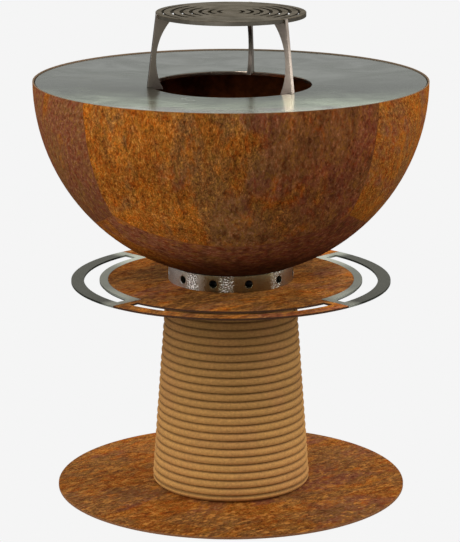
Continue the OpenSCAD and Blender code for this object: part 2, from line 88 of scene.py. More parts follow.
# painted dark reflection on the handles' outer band
HANDLE_DARK_REFLECTION = from_screen(60, 62, 53)
HANDLE_SHEEN = from_screen(244, 243, 236)
WARM_SAND = from_screen(172, 118, 74)
GRATE_IRON = from_screen(44, 40, 38)
GRATE_RUST = from_screen(92, 52, 28)
PAN_STEEL = from_screen(60, 58, 56)
BLACK_STEEL = from_screen(52, 52, 52)
DRUM_STEEL = from_screen(128, 122, 100)
BEARING_BRONZE = from_screen(190, 150, 92)
FASTENER_STEEL = from_screen(180, 180, 178)

RUST_GLOSS = 0.03
BOWL_WALL = 0.004
ZONE_WOBBLE = 0.012
CLOUDY = (0.3, 0.7)  # the part of its range that cloudy noise mostly keeps to
MIDDLING = (0.35, 0.65)  # the same for noise with little detail

# Where a finish changes, in metres: drop from the bowl's rim, X or Y, height above the ground, or radius
BOWL_WIPED = (-0.016, -0.012)
# BOWL_LOW and BOWL_FOOT bound the bowl's painted lift low down and its painted shade next to the collar
BOWL_LOW = (-0.28, -0.18)
BOWL_FOOT = (-0.44, -0.35)
# the next three bound the discs' painted light: darker front, lighter rear and right
DISC_FRONT = (-0.4, -0.15)
DISC_REAR = (0.0, 0.3)
DISC_RIGHT = (0.1, 0.3)
# the cooking plate's painted reflection: lighter front and darker rear
PLATE_FRONT = (-0.46, -0.08)
PLATE_REAR = (0.05, 0.4)
# the next two bound the legs' painted light
LEG_UNDER_TRIVET = (1.13, 1.175)
LEG_FOOT_TO_TOP = (1.04, 1.17)
# where the handles' painted dark reflection band starts
HANDLE_BAND_START = (0.338, 0.366)

# Parts of the collar as (low, high, soft, strength), in degrees from the front: bands of painted reflection,
# and bands of painted glints on a coarser beaten relief
REFLECTION_BANDS = ((-110, -25, 5, 1.0), (-10, 3, 4, 0.3), (39, 110, 4, 0.3))
SPARKLING_PARTS = ((-43, -32, 4, 1.0), (-9, 1, 3, 0.85), (40, 51, 3, 0.5), (-95, -60, 5, 0.4))

# Width of the softened edges in metres, and segments
EDGES = {
    "fire_bowl": (0.0006, 1),
    "base_disc": (0.0008, 2),
    "shelf_disc": (0.0006, 2),
    "vent_collar": (0.0005, 2),
    "handle_left": (0.0007, 2),
    "handle_right": (0.0007, 2),
    "cooking_plate": (0.001, 2),
    "trivet_plate": (0.0008, 2),
    "leg_left": (0.0008, 2),
    "leg_right": (0.0008, 2),
    "leg_rear": (0.0008, 2),
    "fire_grate": (0.001, 2),
}
EDGE_ANGLE = math.radians(40)
SPLIT_CORNER = 0.00001

ROUND_STEPS = 240
BULGE_STEPS = 14
LOW_LAYERS = 2
SEAM_BITE = 0.0035

CAMERA_PLACE = (0, -6.0573, 2.0408)
CAMERA_TILT = 0.2405
CAMERA_LENS = 164.37
CAMERA_SENSOR = 36
CAMERA_SHIFT = -0.0017
VIEW_END = 200
FLOOR_RADIUS = 60
FLOOR_SIDES = 96
FLOOR_DROP = 0.0005
LIGHTS_AIM = Vector((0, 0, 0.75))


# Node helpers


def put(tree, socket, value):
    """Joins value to a socket where it is a socket itself, and sets it there otherwise."""
    if isinstance(value, bpy.types.NodeSocket):
        tree.links.new(value, socket)
    elif hasattr(value, "__len__") and len(value) == 3 and len(socket.default_value) == 4:
        socket.default_value = (*value, 1.0)
    else:
        socket.default_value = value


def place(tree):
    """Where a point of the piece is in the object's own frame."""
    return tree.nodes.new("ShaderNodeTexCoord").outputs["Object"]


def facing(tree):
    """Which way a face looks."""
    return tree.nodes.new("ShaderNodeNewGeometry").outputs["True Normal"]


def split(tree, vector):
    """The three parts of a vector."""
    parts = tree.nodes.new("ShaderNodeSeparateXYZ")
    put(tree, parts.inputs[0], vector)
    return tuple(parts.outputs)


def joined(tree, x, y, z):
    """A vector from three values."""
    made = tree.nodes.new("ShaderNodeCombineXYZ")
    for socket, value in zip(made.inputs, (x, y, z)):
        put(tree, socket, value)
    return made.outputs[0]


def stretched(tree, vector, x=1.0, y=1.0, z=1.0):
    """Scales a place along each axis, which stretches the pattern that is made from it."""
    mapping = tree.nodes.new("ShaderNodeMapping")
    put(tree, mapping.inputs["Vector"], vector)
    mapping.inputs["Scale"].default_value = (x, y, z)
    return mapping.outputs["Vector"]


def vector_sum(tree, kind, *vectors):
    """One Vector Math node, whose outputs are returned."""
    made = tree.nodes.new("ShaderNodeVectorMath")
    made.operation = kind
    for socket, vector in zip(made.inputs, vectors):
        put(tree, socket, vector)
    return made.outputs


def sum_up(tree, kind, first, second=0.0):
    """One Math node."""
    made = tree.nodes.new("ShaderNodeMath")
    made.operation = kind
    put(tree, made.inputs[0], first)
    put(tree, made.inputs[1], second)
    return made.outputs[0]


def chain(tree, kind, values):
    """The same Math node between each value and the next."""
    made = values[0]
    for value in values[1:]:
        made = sum_up(tree, kind, made, value)
    return made


def times(tree, *values):
    """The values multiplied."""
    return chain(tree, "MULTIPLY", values)


def plus(tree, *values):
    """The values added up."""
    return chain(tree, "ADD", values)


def minus(tree, first, second):
    """The first value less the second."""
    return sum_up(tree, "SUBTRACT", first, second)


def greater(tree, first, second):
    """The greater of two values."""
    return sum_up(tree, "MAXIMUM", first, second)


def unsigned(tree, value):
    """The value without its sign."""
    return sum_up(tree, "ABSOLUTE", value)


def speckle(tree, vector, scale, detail=3.0, rough=0.55, twist=0.0):
    """Cloudy noise around 0.5, with scale blotches to the metre."""
    made = tree.nodes.new("ShaderNodeTexNoise")
    put(tree, made.inputs["Vector"], vector)
    made.inputs["Scale"].default_value = scale
    made.inputs["Detail"].default_value = detail
    made.inputs["Roughness"].default_value = rough
    made.inputs["Distortion"].default_value = twist
    return made.outputs["Fac"]


def spread(tree, value, low, high, to_low=0.0, to_high=1.0):
    """Stretches the part of a value between low and high over a new range."""
    made = tree.nodes.new("ShaderNodeMapRange")
    made.interpolation_type = "SMOOTHSTEP"
    put(tree, made.inputs["Value"], value)
    made.inputs["From Min"].default_value = low
    made.inputs["From Max"].default_value = high
    made.inputs["To Min"].default_value = to_low
    made.inputs["To Max"].default_value = to_high
    return made.outputs["Result"]


def mix_node(tree, made, data, share, first, second):
    """Fills a Mix node. Its sockets share their names, so they are told apart by their identifiers."""
    inputs = {socket.identifier: socket for socket in made.inputs}
    outputs = {socket.identifier: socket for socket in made.outputs}
    put(tree, inputs["Factor_Float"], share)
    put(tree, inputs["A_" + data], first)
    put(tree, inputs["B_" + data], second)
    return outputs["Result_" + data]


def mixed(tree, share, first, second, kind="MIX"):
    """Mixes two colours."""
    made = tree.nodes.new("ShaderNodeMix")
    made.data_type = "RGBA"
    made.blend_type = kind
    return mix_node(tree, made, "Color", share, first, second)


def chosen(tree, share, first, second):
    """The first vector where share is 0 and the second where it is 1."""
    made = tree.nodes.new("ShaderNodeMix")
    made.data_type = "VECTOR"
    return mix_node(tree, made, "Vector", share, first, second)


def shade(tree, colour, value):
    """Makes a colour lighter or darker by a value around 1."""
    grey = tree.nodes.new("ShaderNodeCombineColor")
    for channel in ("Red", "Green", "Blue"):
        put(tree, grey.inputs[channel], value)
    return mixed(tree, 1.0, colour, grey.outputs["Color"], "MULTIPLY")


def relief(tree, height, depth, under=None):
    """Bump of the given depth in metres."""
    made = tree.nodes.new("ShaderNodeBump")
    made.inputs["Strength"].default_value = 1.0
    made.inputs["Distance"].default_value = depth
    put(tree, made.inputs["Height"], height)
    if under is not None:
        put(tree, made.inputs["Normal"], under)
    return made.outputs["Normal"]


def new_finish(name, metal=0.0, gloss=0.5):
    """A material with one Principled shader, its constants set on the shader's own sockets."""
    material = bpy.data.materials.new(name)
    material.use_nodes = True
    tree = material.node_tree
    shader = tree.nodes["Principled BSDF"]
    shader.inputs["Metallic"].default_value = metal
    shader.inputs["Specular IOR Level"].default_value = gloss
    return material, tree, shader


def cover(tree, shader, colour, roughness, normal):
    """Joins a finish's colour, roughness and relief to its shader."""
    put(tree, shader.inputs["Base Color"], colour)
    put(tree, shader.inputs["Roughness"], roughness)
    put(tree, shader.inputs["Normal"], normal)


def give(material, *names):
    """Puts a finish on CAD nodes in place of their plain one."""
    for name in names:
        slots = NODES[name].data.materials
        slots.clear()
        slots.append(material)


def soften_edges(*names):
    """Rounds the sharp edges of CAD nodes by modifiers and leaves their meshes as they are."""
    for name in names:
        piece = NODES[name]
        weld = piece.modifiers.new("Join split corners", "WELD")
        weld.merge_threshold = SPLIT_CORNER
        round_over = piece.modifiers.new("Break the edges", "BEVEL")
        round_over.width, round_over.segments = EDGES[name]
        round_over.limit_method = "ANGLE"
        round_over.angle_limit = EDGE_ANGLE
        round_over.use_clamp_overlap = True
        even = piece.modifiers.new("Even shading", "WEIGHTED_NORMAL")
        even.keep_sharp = False
        even.weight = 50


# Sizes and colours


class FirePitColours(bpy.types.PropertyGroup):
    """Colours of the finishes."""

    rust_bright: bpy.props.FloatVectorProperty(
        name="Bright rust", description="Orange of the freshest rust on the weathering steel",
        subtype="COLOR", default=from_screen(176, 101, 28), min=0, max=1)
    rust_fleck: bpy.props.FloatVectorProperty(
        name="Rust flecks", description="Yellow-orange of the smallest bright flecks",
        subtype="COLOR", default=from_screen(200, 134, 62), min=0, max=1)
    rust_tan: bpy.props.FloatVectorProperty(
        name="Tan flecks", description="Tan of the small flecks on the oldest rust",
        subtype="COLOR", default=from_screen(172, 120, 84), min=0, max=1)
    rust_ochre: bpy.props.FloatVectorProperty(
        name="Ochre rust", description="Ochre that the rust shades into between the flecks",
        subtype="COLOR", default=from_screen(156, 106, 38), min=0, max=1)
    rust_mid: bpy.props.FloatVectorProperty(
        name="Rust", description="Orange-brown of most of the weathering steel",
        subtype="COLOR", default=from_screen(147, 83, 26), min=0, max=1)
    rust_purple: bpy.props.FloatVectorProperty(
        name="Old rust", description="Purple-brown of the oldest rust",
        subtype="COLOR", default=from_screen(126, 74, 50), min=0, max=1)
    rust_olive: bpy.props.FloatVectorProperty(
        name="Olive rust", description="Olive-brown film between the rust patches",
        subtype="COLOR", default=from_screen(126, 86, 48), min=0, max=1)
    rust_dark: bpy.props.FloatVectorProperty(
        name="Dark rust", description="Brown of the pits and the lower edges",
        subtype="COLOR", default=from_screen(70, 32, 12), min=0, max=1)
    plate: bpy.props.FloatVectorProperty(
        name="Cooking plate", description="Grey-green of the seasoned cooking plate",
        subtype="COLOR", default=from_screen(112, 119, 105), min=0, max=1)
    trivet: bpy.props.FloatVectorProperty(
        name="Trivet", description="Taupe of the oiled trivet",
        subtype="COLOR", default=from_screen(88, 74, 56), min=0, max=1)
    legs: bpy.props.FloatVectorProperty(
        name="Legs", description="Lighter taupe of the trivet's legs",
        subtype="COLOR", default=from_screen(138, 127, 117), min=0, max=1)
    stainless: bpy.props.FloatVectorProperty(
        name="Stainless", description="Colour of the brushed stainless steel",
        subtype="COLOR", default=from_screen(172, 176, 163), min=0, max=1)
    mineral: bpy.props.FloatVectorProperty(
        name="Mineral", description="Sand colour of the printed pedestal",
        subtype="COLOR", default=from_screen(160, 118, 65), min=0, max=1)


class FirePitPedestal(bpy.types.PropertyGroup):
    """Sizes of the pedestal's printed layers."""

    foot_radius: bpy.props.FloatProperty(
        name="Foot radius", description="Radius of the beads at the pedestal's foot",
        default=0.2018, min=0.15, max=0.25, unit="LENGTH")
    top_radius: bpy.props.FloatProperty(
        name="Top radius", description="Radius of the beads at the pedestal's top",
        default=0.1634, min=0.12, max=0.2, unit="LENGTH")
    wall: bpy.props.FloatProperty(
        name="Wall", description="Wall of the pedestal", default=0.042, min=0.02, max=0.06, unit="LENGTH")
    layers: bpy.props.IntProperty(
        name="Layers", description="Number of printed layers", default=26, min=10, max=40)
    layer_height: bpy.props.FloatProperty(
        name="Layer height", description="Height of one printed layer",
        default=0.02, min=0.01, max=0.03, unit="LENGTH")
    low_layer_height: bpy.props.FloatProperty(
        name="Low layer height", description="Height of each of the two lowest layers",
        default=0.0187, min=0.01, max=0.03, unit="LENGTH")
    groove: bpy.props.FloatProperty(
        name="Groove", description="Depth of the grooves between layers",
        default=0.005, min=0.001, max=0.008, unit="LENGTH")
    foot_inset: bpy.props.FloatProperty(
        name="Foot inset", description="How far the lowest layer is drawn in at the ground",
        default=0.013, min=0.0, max=0.02, unit="LENGTH")
    wander: bpy.props.FloatProperty(
        name="Wander", description="How far a layer wanders from a true circle",
        default=0.0006, min=0.0, max=0.003, unit="LENGTH")


class FirePitStudio(bpy.types.PropertyGroup):
    """Brightness of the studio."""

    backdrop: bpy.props.FloatVectorProperty(
        name="Backdrop", description="Colour of the floor and the backdrop",
        subtype="COLOR", default=from_screen(245, 245, 245), min=0, max=1)
    left_power: bpy.props.FloatProperty(
        name="Left box", description="Power of the soft box on the left", default=70, min=0, unit="POWER")
    right_power: bpy.props.FloatProperty(
        name="Right box", description="Power of the soft box on the right", default=104, min=0, unit="POWER")
    front_power: bpy.props.FloatProperty(
        name="Front box", description="Power of the soft box near the camera",
        default=78, min=0, unit="POWER")
    fill: bpy.props.FloatProperty(
        name="Fill", description="Brightness of the studio's own soft light", default=1.0, min=0)


# Finishes


def blotched(tree, colours, along, purple, olive, fresh, level):
    """Colour and relief of rust: broad patches, films and blooms, and on top of them small flecks.

    Purple, olive and fresh shift how much of the old, the filmed and the fresh rust there is, and level is
    its brightness.
    """
    patches = plus(tree, speckle(tree, along, 6.0, 4, 0.55, 0.5), purple)
    film = plus(tree, speckle(tree, along, 10.0, 4, 0.6, 0.4), olive)
    blooms = plus(tree, speckle(tree, along, 26.0, 4, 0.62, 0.3), fresh)
    pits = spread(tree, speckle(tree, along, 60.0, 4, 0.65), 0.54, 0.68, 0.0, 0.5)
    tone = speckle(tree, along, 100.0, 3, 0.65, 0.5)
    grain = speckle(tree, along, 165.0, 3, 0.72, 0.4)
    dust = speckle(tree, along, 340.0, 2, 0.7)
    old = spread(tree, patches, 0.46, 0.56)
    colour = mixed(tree, old, colours.rust_mid, colours.rust_purple)
    colour = mixed(tree, spread(tree, film, 0.48, 0.62, 0.0, 0.85), colour, colours.rust_olive)
    colour = mixed(tree, spread(tree, blooms, 0.48, 0.66, 0.0, 0.8), colour, colours.rust_bright)
    colour = mixed(tree, pits, colour, colours.rust_dark)
    colour = mixed(tree, spread(tree, tone, 0.5, 0.64, 0.0, 0.5), colour, colours.rust_ochre)
    colour = mixed(tree, spread(tree, tone, 0.36, 0.5, 0.8, 0.0), colour, EMBER_CAST, "MULTIPLY")
    fleck = mixed(tree, old, colours.rust_fleck, colours.rust_tan)
    colour = mixed(tree, spread(tree, grain, 0.52, 0.7, 0.0, 0.7), colour, fleck)
    colour = mixed(tree, spread(tree, grain, 0.3, 0.48, 0.7, 0.0), colour, colours.rust_dark)
    dust = times(tree, spread(tree, dust, 0.32, 0.68, -0.42, 0.42), spread(tree, old, 0.0, 1.0, 1.0, 0.35))
    colour = shade(tree, colour, plus(tree, dust, 1.0))
    return shade(tree, colour, level), grain, pits


def cover_rust(tree, shader, colour, grain, pits):
    """Joins the rust's colour, its dull skin and its fine relief to the shader."""
    skin = relief(tree, grain, 0.0008, relief(tree, pits, 0.0004))
    cover(tree, shader, colour, spread(tree, grain, *CLOUDY, 0.95, 0.8), skin)


def bowl_zones(tree, where, x, y, drop):
    """How far a point is in the side zone and in the bottom zone. In neither, it is front or back."""
    wobble = times(tree, minus(tree, speckle(tree, where, 40.0, 3), 0.5), ZONE_WOBBLE)
    off_x = plus(tree, unsigned(tree, x), wobble)
    off_y = unsigned(tree, y)
    off_z = unsigned(tree, drop)
    side = spread(tree, minus(tree, off_x, greater(tree, off_y, off_z)), -0.001, 0.001)
    bottom = spread(tree, minus(tree, off_z, greater(tree, off_x, off_y)), -0.002, 0.002)
    return side, bottom


def bowl_streaks(tree, x, y, drop, side, bottom):
    """Place in the rust's pattern: drawn out down the front, at a slant on the sides, across the bottom."""
    down = joined(tree, x, times(tree, y, 0.6), times(tree, drop, 0.55))
    slant = joined(tree, 3.0, plus(tree, y, times(tree, drop, 0.4)), times(tree, drop, 0.6))
    across = joined(tree, times(tree, x, 0.45), plus(tree, y, 5.0), drop)
    return chosen(tree, bottom, chosen(tree, side, down, slant), across)


def bowl_runs_and_painted_light(tree, x, y, drop, side, ahead, bottom):
    """Brightness of the bowl's rust: streaked in front, with painted light that makes it lighter on the left,
    darker to the right and lifted low on the left, and painted shade next to the collar.
    """
    runs = speckle(tree, joined(tree, x, y, times(tree, drop, 0.14)), 40.0, 4, 0.65, 0.3)
    runs = times(tree, spread(tree, runs, 0.34, 0.6, -0.28, 0.14), spread(tree, x, -0.2, 0.0, 0.5, 1.0))
    # painted light: lighter on the left and darker to the right across the front
    streaked = times(tree, spread(tree, x, -0.08, 0.3, 1.08, 0.8), plus(tree, runs, 1.0), ahead)
    level = plus(tree, streaked, side, times(tree, bottom, -0.06))
    # painted light: lifted low on the left front
    lift = times(tree, spread(tree, drop, *BOWL_LOW, 0.4, 0.0), ahead,
                 spread(tree, x, -0.02, 0.16, 1.0, 0.2))
    # painted shade: darker towards the collar
    return times(tree, level, plus(tree, lift, 1.0), spread(tree, drop, *BOWL_FOOT, 0.26, 1.0))


def bowl_soot(tree, where, x, drop):
    """Colour of the bowl's inside: sooty, with painted light making it paler on the left, and wiped above the
    cooking plate.
    """
    soot = shade(tree, SOOT, spread(tree, speckle(tree, where, 18.0, 5, 0.65), *CLOUDY, 0.5, 1.6))
    # painted light: the soot lightened towards the left, where the inside gets less light
    soot = shade(tree, soot, spread(tree, x, -0.35, 0.15, 2.6, 1.0))
    return mixed(tree, spread(tree, drop, *BOWL_WIPED, 0.0, 0.85), soot, WIPED_RIM)


def bowl_rust(name, colours, middle, inner):
    """Rust of the bowl. It runs down the front and the back, leans on the sides and lies across the bottom,
    with a clear edge where one meets the next. The inside is sooty.

    Middle is the height of the sphere's centre, and inner is the radius of the inside.
    """
    material, tree, shader = new_finish(name, gloss=RUST_GLOSS)
    where = place(tree)
    x, y, z = split(tree, where)
    drop = minus(tree, z, middle)
    side, bottom = bowl_zones(tree, where, x, y, drop)
    ahead = minus(tree, 1.0, side)
    purple = plus(
        tree, times(tree, ahead, spread(tree, x, -0.25, 0.2, -0.1, 0.12)), times(tree, bottom, 0.16),
        times(tree, side, spread(tree, x, -0.01, 0.01, 0.16, -0.05),
              spread(tree, drop, -0.2, -0.03, 1.0, 0.4)))
    olive = plus(tree, times(tree, ahead, spread(tree, x, -0.3, 0.0, -0.06, 0.07)), times(tree, bottom, -0.1))
    fresh = plus(
        tree, times(tree, ahead, spread(tree, x, -0.25, 0.12, 0.03, -0.08)), times(tree, bottom, -0.08),
        times(tree, side, spread(tree, x, -0.01, 0.01, -0.09, 0.03)))
    along = bowl_streaks(tree, x, y, drop, side, bottom)
    level = bowl_runs_and_painted_light(tree, x, y, drop, side, ahead, bottom)
    colour, grain, pits = blotched(tree, colours, along, purple, olive, fresh, level)
    colour = mixed(tree, times(tree, ahead, spread(tree, x, 0.0, 0.2)), colour, RED_CAST, "MULTIPLY")
    up = split(tree, facing(tree))[2]
    rim = times(tree, spread(tree, up, 0.5, 0.8, 0.0, 0.8), spread(tree, drop, -0.003, -0.001))
    colour = mixed(tree, rim, colour, WIPED_RIM)
    reach = vector_sum(tree, "LENGTH", joined(tree, x, y, drop))["Value"]
    outside = spread(tree, reach, inner + 0.0005, inner + 0.0015)
    cover_rust(tree, shader, mixed(tree, outside, bowl_soot(tree, where, x, drop), colour), grain, pits)
    return material


def disc_rust(name, colours, cut, turn, seed, level, front, right, patchy, draw):
    """Rust of the flat discs, drawn out across them, with cut edges of their own colours.

    Turn is the direction of the streaks in degrees, seed moves the pattern, level is the brightness in the
    middle, front and right are the factors of painted light that it takes towards those edges, with painted
    light lighter towards the rear too, patchy is how far it changes from patch to patch, and draw is the
    scale along the streaks.
    """
    material, tree, shader = new_finish(name, gloss=RUST_GLOSS)
    x, y, _ = split(tree, place(tree))
    turned = tree.nodes.new("ShaderNodeMapping")
    put(tree, turned.inputs["Vector"], place(tree))
    turned.inputs["Location"].default_value = (seed, seed, 0)
    turned.inputs["Rotation"].default_value = (0, 0, math.radians(-turn))
    along = stretched(tree, turned.outputs["Vector"], draw, 0.95, 1.0)
    patches = spread(tree, speckle(tree, along, 16.0, 3, 0.6), *MIDDLING, 1 - patchy, 1 + patchy)
    # painted light: darker towards the front, lighter towards the rear and towards the right
    level = times(
        tree, level, patches, spread(tree, y, *DISC_FRONT, front, 1.0), spread(tree, y, *DISC_REAR, 1.0, 1.2),
        spread(tree, x, *DISC_RIGHT, 1.0, right))
    purple = spread(tree, x, -0.3, 0.1, -0.06, 0.03)
    colour, grain, pits = blotched(tree, colours, along, purple, 0.06, -0.03, level)
    streaks = speckle(tree, along, 90.0, 2, 0.6)
    colour = mixed(tree, spread(tree, streaks, 0.54, 0.7, 0.0, 0.65), colour, colours.rust_fleck)
    colour = mixed(tree, spread(tree, streaks, 0.3, 0.46, 0.5, 0.0), colour, colours.rust_dark)
    flat = spread(tree, unsigned(tree, split(tree, facing(tree))[2]), 0.45, 0.9)
    cover_rust(tree, shader, mixed(tree, flat, mixed(tree, grain, *cut), colour), grain, pits)
    return material


def satin_steel(name, colour, rough, cloud, stain=None, painted_reflection=0.0, edge=None, per_metre=7.0, sheen=None,
                level=None):
    """Satin metal with soft clouds, fine scratches and slightly uneven gloss.

    Stain is the colour of its patches, bare is a painted reflection that makes the front that much lighter
    and the rear darker, edge is the colour of the upright faces (on the cooking plate a painted highlight),
    per_metre is how close the clouds are, sheen tints what the metal mirrors at a flat angle, and level is a
    function that gives painted light, the brightness from place to place.
    """
    material, tree, shader = new_finish(name, metal=1.0)
    where = place(tree)
    clouds = speckle(tree, stretched(tree, where, y=1.6), per_metre, 4, 0.6, 0.8)
    scratches = speckle(tree, stretched(tree, where, 18.0, 420.0, 420.0), 1.0, 2, 0.5)
    grain = speckle(tree, where, 300.0, 3, 0.6)
    body = shade(tree, colour, spread(tree, clouds, *CLOUDY, 1 - cloud, 1 + cloud))
    if stain is not None:
        patches = spread(tree, speckle(tree, where, 4.0, 3, 0.6, 0.5), 0.5, 0.7, 0.0, 0.5)
        body = mixed(tree, patches, body, stain)
    # painted reflection: the front lightened and the rear darkened
    if painted_reflection:
        depth = plus(tree, split(tree, where)[1], spread(tree, clouds, *CLOUDY, -0.02, 0.02))
        body = shade(tree, body, spread(tree, depth, *PLATE_FRONT, 1 + painted_reflection, 1.0))
        body = shade(tree, body, spread(tree, depth, *PLATE_REAR, 1.0, 0.74))
    body = shade(tree, body, spread(tree, grain, *CLOUDY, 0.94, 1.06))
    # on the cooking plate the upright faces' colour is a painted highlight
    if edge is not None:
        upright = spread(tree, unsigned(tree, split(tree, facing(tree))[2]), 0.3, 0.7, 1.0, 0.0)
        body = mixed(tree, upright, body, shade(tree, edge, spread(tree, clouds, *CLOUDY, 0.85, 1.15)))
    if level is not None:
        body = shade(tree, body, level(tree))
    if sheen is not None:
        put(tree, shader.inputs["Specular Tint"], sheen)
    uneven = 0.05 + 0.15 * max(0.0, cloud - 0.14)
    roughness = plus(tree, spread(tree, clouds, *CLOUDY, rough + uneven, rough - uneven),
                     spread(tree, scratches, 0.4, 0.6, -0.02, 0.04))
    cover(tree, shader, body, roughness, relief(tree, scratches, 0.000008, relief(tree, grain, 0.00002)))
    return material


def leg_painted_light(tree):
    """Painted light on the legs' steel. The outer edges are darkened by painted shade, the inner edges are
    painted darker low down and lighter under the trivet, and the right leg is painted lighter towards its
    foot."""
    x, y, height = split(tree, place(tree))
    away = vector_sum(tree, "NORMALIZE", joined(tree, x, y, 0.0))["Vector"]
    outwards = vector_sum(tree, "DOT_PRODUCT", away, facing(tree))["Value"]
    outer = spread(tree, outwards, 0.5, 0.8, 1.0, 0.52)
    inner = times(tree, spread(tree, outwards, -0.25, -0.12, 1.0, 0.0),
                  spread(tree, height, *LEG_UNDER_TRIVET, -0.6, 2.0))
    right = times(tree, spread(tree, x, 0.0, 0.05), spread(tree, y, -0.05, 0.0, 1.0, 0.0),
                  spread(tree, height, *LEG_FOOT_TO_TOP, 0.78, -0.3))
    return times(tree, outer, plus(tree, inner, 1.0), plus(tree, right, 1.0))


def collar_parts(tree, turn, parts):
    """Marks parts of the collar, each given as (low, high, soft, strength)."""
    marked = 0.0
    for low, high, soft, strength in parts:
        rise = spread(tree, turn, low - soft, low + soft)
        fall = spread(tree, turn, high - soft, high + soft, 1.0, 0.0)
        marked = greater(tree, marked, times(tree, rise, fall, strength))
    return marked


def beaten_stainless(name):
    """Stainless steel of the vent collar, finely beaten, with painted reflection: brown where it mirrors the
    rust shelf, lighter in bands and towards the sides, and with painted glints in the bands that sparkle.
    """
    material, tree, shader = new_finish(name, metal=1.0)
    where = place(tree)
    x, y, _ = split(tree, where)
    turn = times(tree, sum_up(tree, "ARCTAN2", x, times(tree, y, -1.0)), 180 / math.pi)
    turn = plus(tree, turn, spread(tree, speckle(tree, where, 120.0, 3, 0.7), *CLOUDY, -1.2, 1.2))
    painted_reflection = collar_parts(tree, turn, REFLECTION_BANDS)
    sparkling = collar_parts(tree, turn, SPARKLING_PARTS)
    sides = times(tree, spread(tree, unsigned(tree, turn), 42.0, 62.0), painted_reflection)
    grain = speckle(tree, where, 310.0, 2, 0.65)
    fine = speckle(tree, where, 520.0, 2, 0.6)
    # spots of painted glint in the sparkling bands
    glint_spots = times(tree, sparkling, spread(tree, grain, 0.48, 0.56))
    # painted reflection: brown from the rust shelf, lighter in the bands
    body = mixed(tree, painted_reflection, COLLAR_RUST_REFLECTION, COLLAR_BAND_REFLECTION)
    # painted highlight towards the sides
    body = mixed(tree, sides, body, COLLAR_SIDE_HIGHLIGHT)
    body = shade(tree, body, spread(tree, fine, *MIDDLING, 0.8, 1.2))
    # painted glints: the sparkling bands darkened and white spots painted on them
    body = shade(tree, body, spread(tree, sparkling, 0.0, 1.0, 1.0, 0.45))
    body = mixed(tree, glint_spots, body, PAINTED_GLINT)
    height = times(tree, grain, spread(tree, sparkling, 0.0, 1.0, 0.12, 0.9))
    cover(tree, shader, body, spread(tree, painted_reflection, 0.0, 1.0, 0.22, 0.36), relief(tree, height, 0.0028))
    return material


def handle_stainless(name, colours):
    """Stainless steel of the handles: brushed, with painted reflection that darkens the outer band and makes
    the inner part darker at the front and brightest at the ends.
    """
    material, tree, shader = new_finish(name, metal=1.0)
    put(tree, shader.inputs["Specular Tint"], HANDLE_SHEEN)
    where = place(tree)
    x, y, _ = split(tree, where)
    reach = vector_sum(tree, "LENGTH", joined(tree, x, y, 0.0))["Value"]
    ends = sum_up(tree, "DIVIDE", unsigned(tree, y), reach)
    brushed = speckle(tree, stretched(tree, where, 500.0, 40.0, 500.0), 1.0, 2, 0.5)
    clouds = speckle(tree, where, 12.0, 3, 0.5)
    # painted reflection: the outer band darker, less so towards the ends
    outer = times(tree, spread(tree, reach, *HANDLE_BAND_START), spread(tree, ends, 0.6, 0.68, 1.0, 0.3))
    # painted reflection: the inner part darker at the front and lighter towards the ends
    inner = shade(tree, colours.stainless, spread(tree, ends, 0.25, 0.66, 0.58, 1.9))
    body = mixed(tree, outer, inner, HANDLE_DARK_REFLECTION)
    body = shade(tree, body, spread(tree, clouds, *CLOUDY, 0.93, 1.05))
    body = shade(tree, body, spread(tree, brushed, *MIDDLING, 0.97, 1.03))
    cover(tree, shader, body, spread(tree, brushed, *MIDDLING, 0.28, 0.33), relief(tree, brushed, 0.000002))
    return material


def printed_mineral(name, colour, first_seam, layer):
    """Sand-coloured printed mineral with a fine sandy grain and uneven layers, painted lighter towards the
    foot, and with painted shade in the seams between the layers.
    """
    material, tree, shader = new_finish(name, gloss=0.2)
    where = place(tree)
    height = sum_up(tree, "DIVIDE", minus(tree, split(tree, where)[2], first_seam), layer)
    to_seam = unsigned(tree, minus(tree, height, sum_up(tree, "ROUND", height)))
    layers = speckle(tree, stretched(tree, where, 2.2, 2.2, 26.0), 1.0, 3, 0.5)
    clouds = speckle(tree, where, 9.0, 4, 0.6, 0.3)
    sand = speckle(tree, where, 520.0, 3, 0.75)
    coarse = speckle(tree, where, 150.0, 3, 0.6)
    body = shade(tree, colour, spread(tree, layers, *CLOUDY, 0.93, 1.07))
    # painted light: lighter towards the foot, darker towards the top under the shelf
    body = shade(tree, body, spread(tree, height, -2.0, 24.0, 1.45, 0.94))
    body = mixed(tree, spread(tree, clouds, 0.4, 0.7, 0.0, 0.3), body, WARM_SAND)
    body = shade(tree, body, spread(tree, sand, *CLOUDY, 0.8, 1.2))
    body = shade(tree, body, spread(tree, coarse, *CLOUDY, 0.88, 1.12))
    # painted shade in the seams between layers
    body = shade(tree, body, spread(tree, to_seam, 0.02, 0.2, 0.48, 1.03))
    cover(tree, shader, body, 0.92, relief(tree, sand, 0.0005, relief(tree, coarse, 0.0006)))
    return material


def painted_steel(name, colour, rough=0.55):
    """Painted steelwork with a slight orange-peel skin."""
    material, tree, shader = new_finish(name, gloss=0.4)
    where = place(tree)
    peel = speckle(tree, where, 420.0, 2, 0.5)
    dust = speckle(tree, where, 22.0, 4, 0.6)
    body = shade(tree, colour, spread(tree, dust, *CLOUDY, 0.85, 1.15))
    roughness = spread(tree, dust, *CLOUDY, rough - 0.08, rough + 0.08)
    cover(tree, shader, body, roughness, relief(tree, peel, 0.00008))
    return material


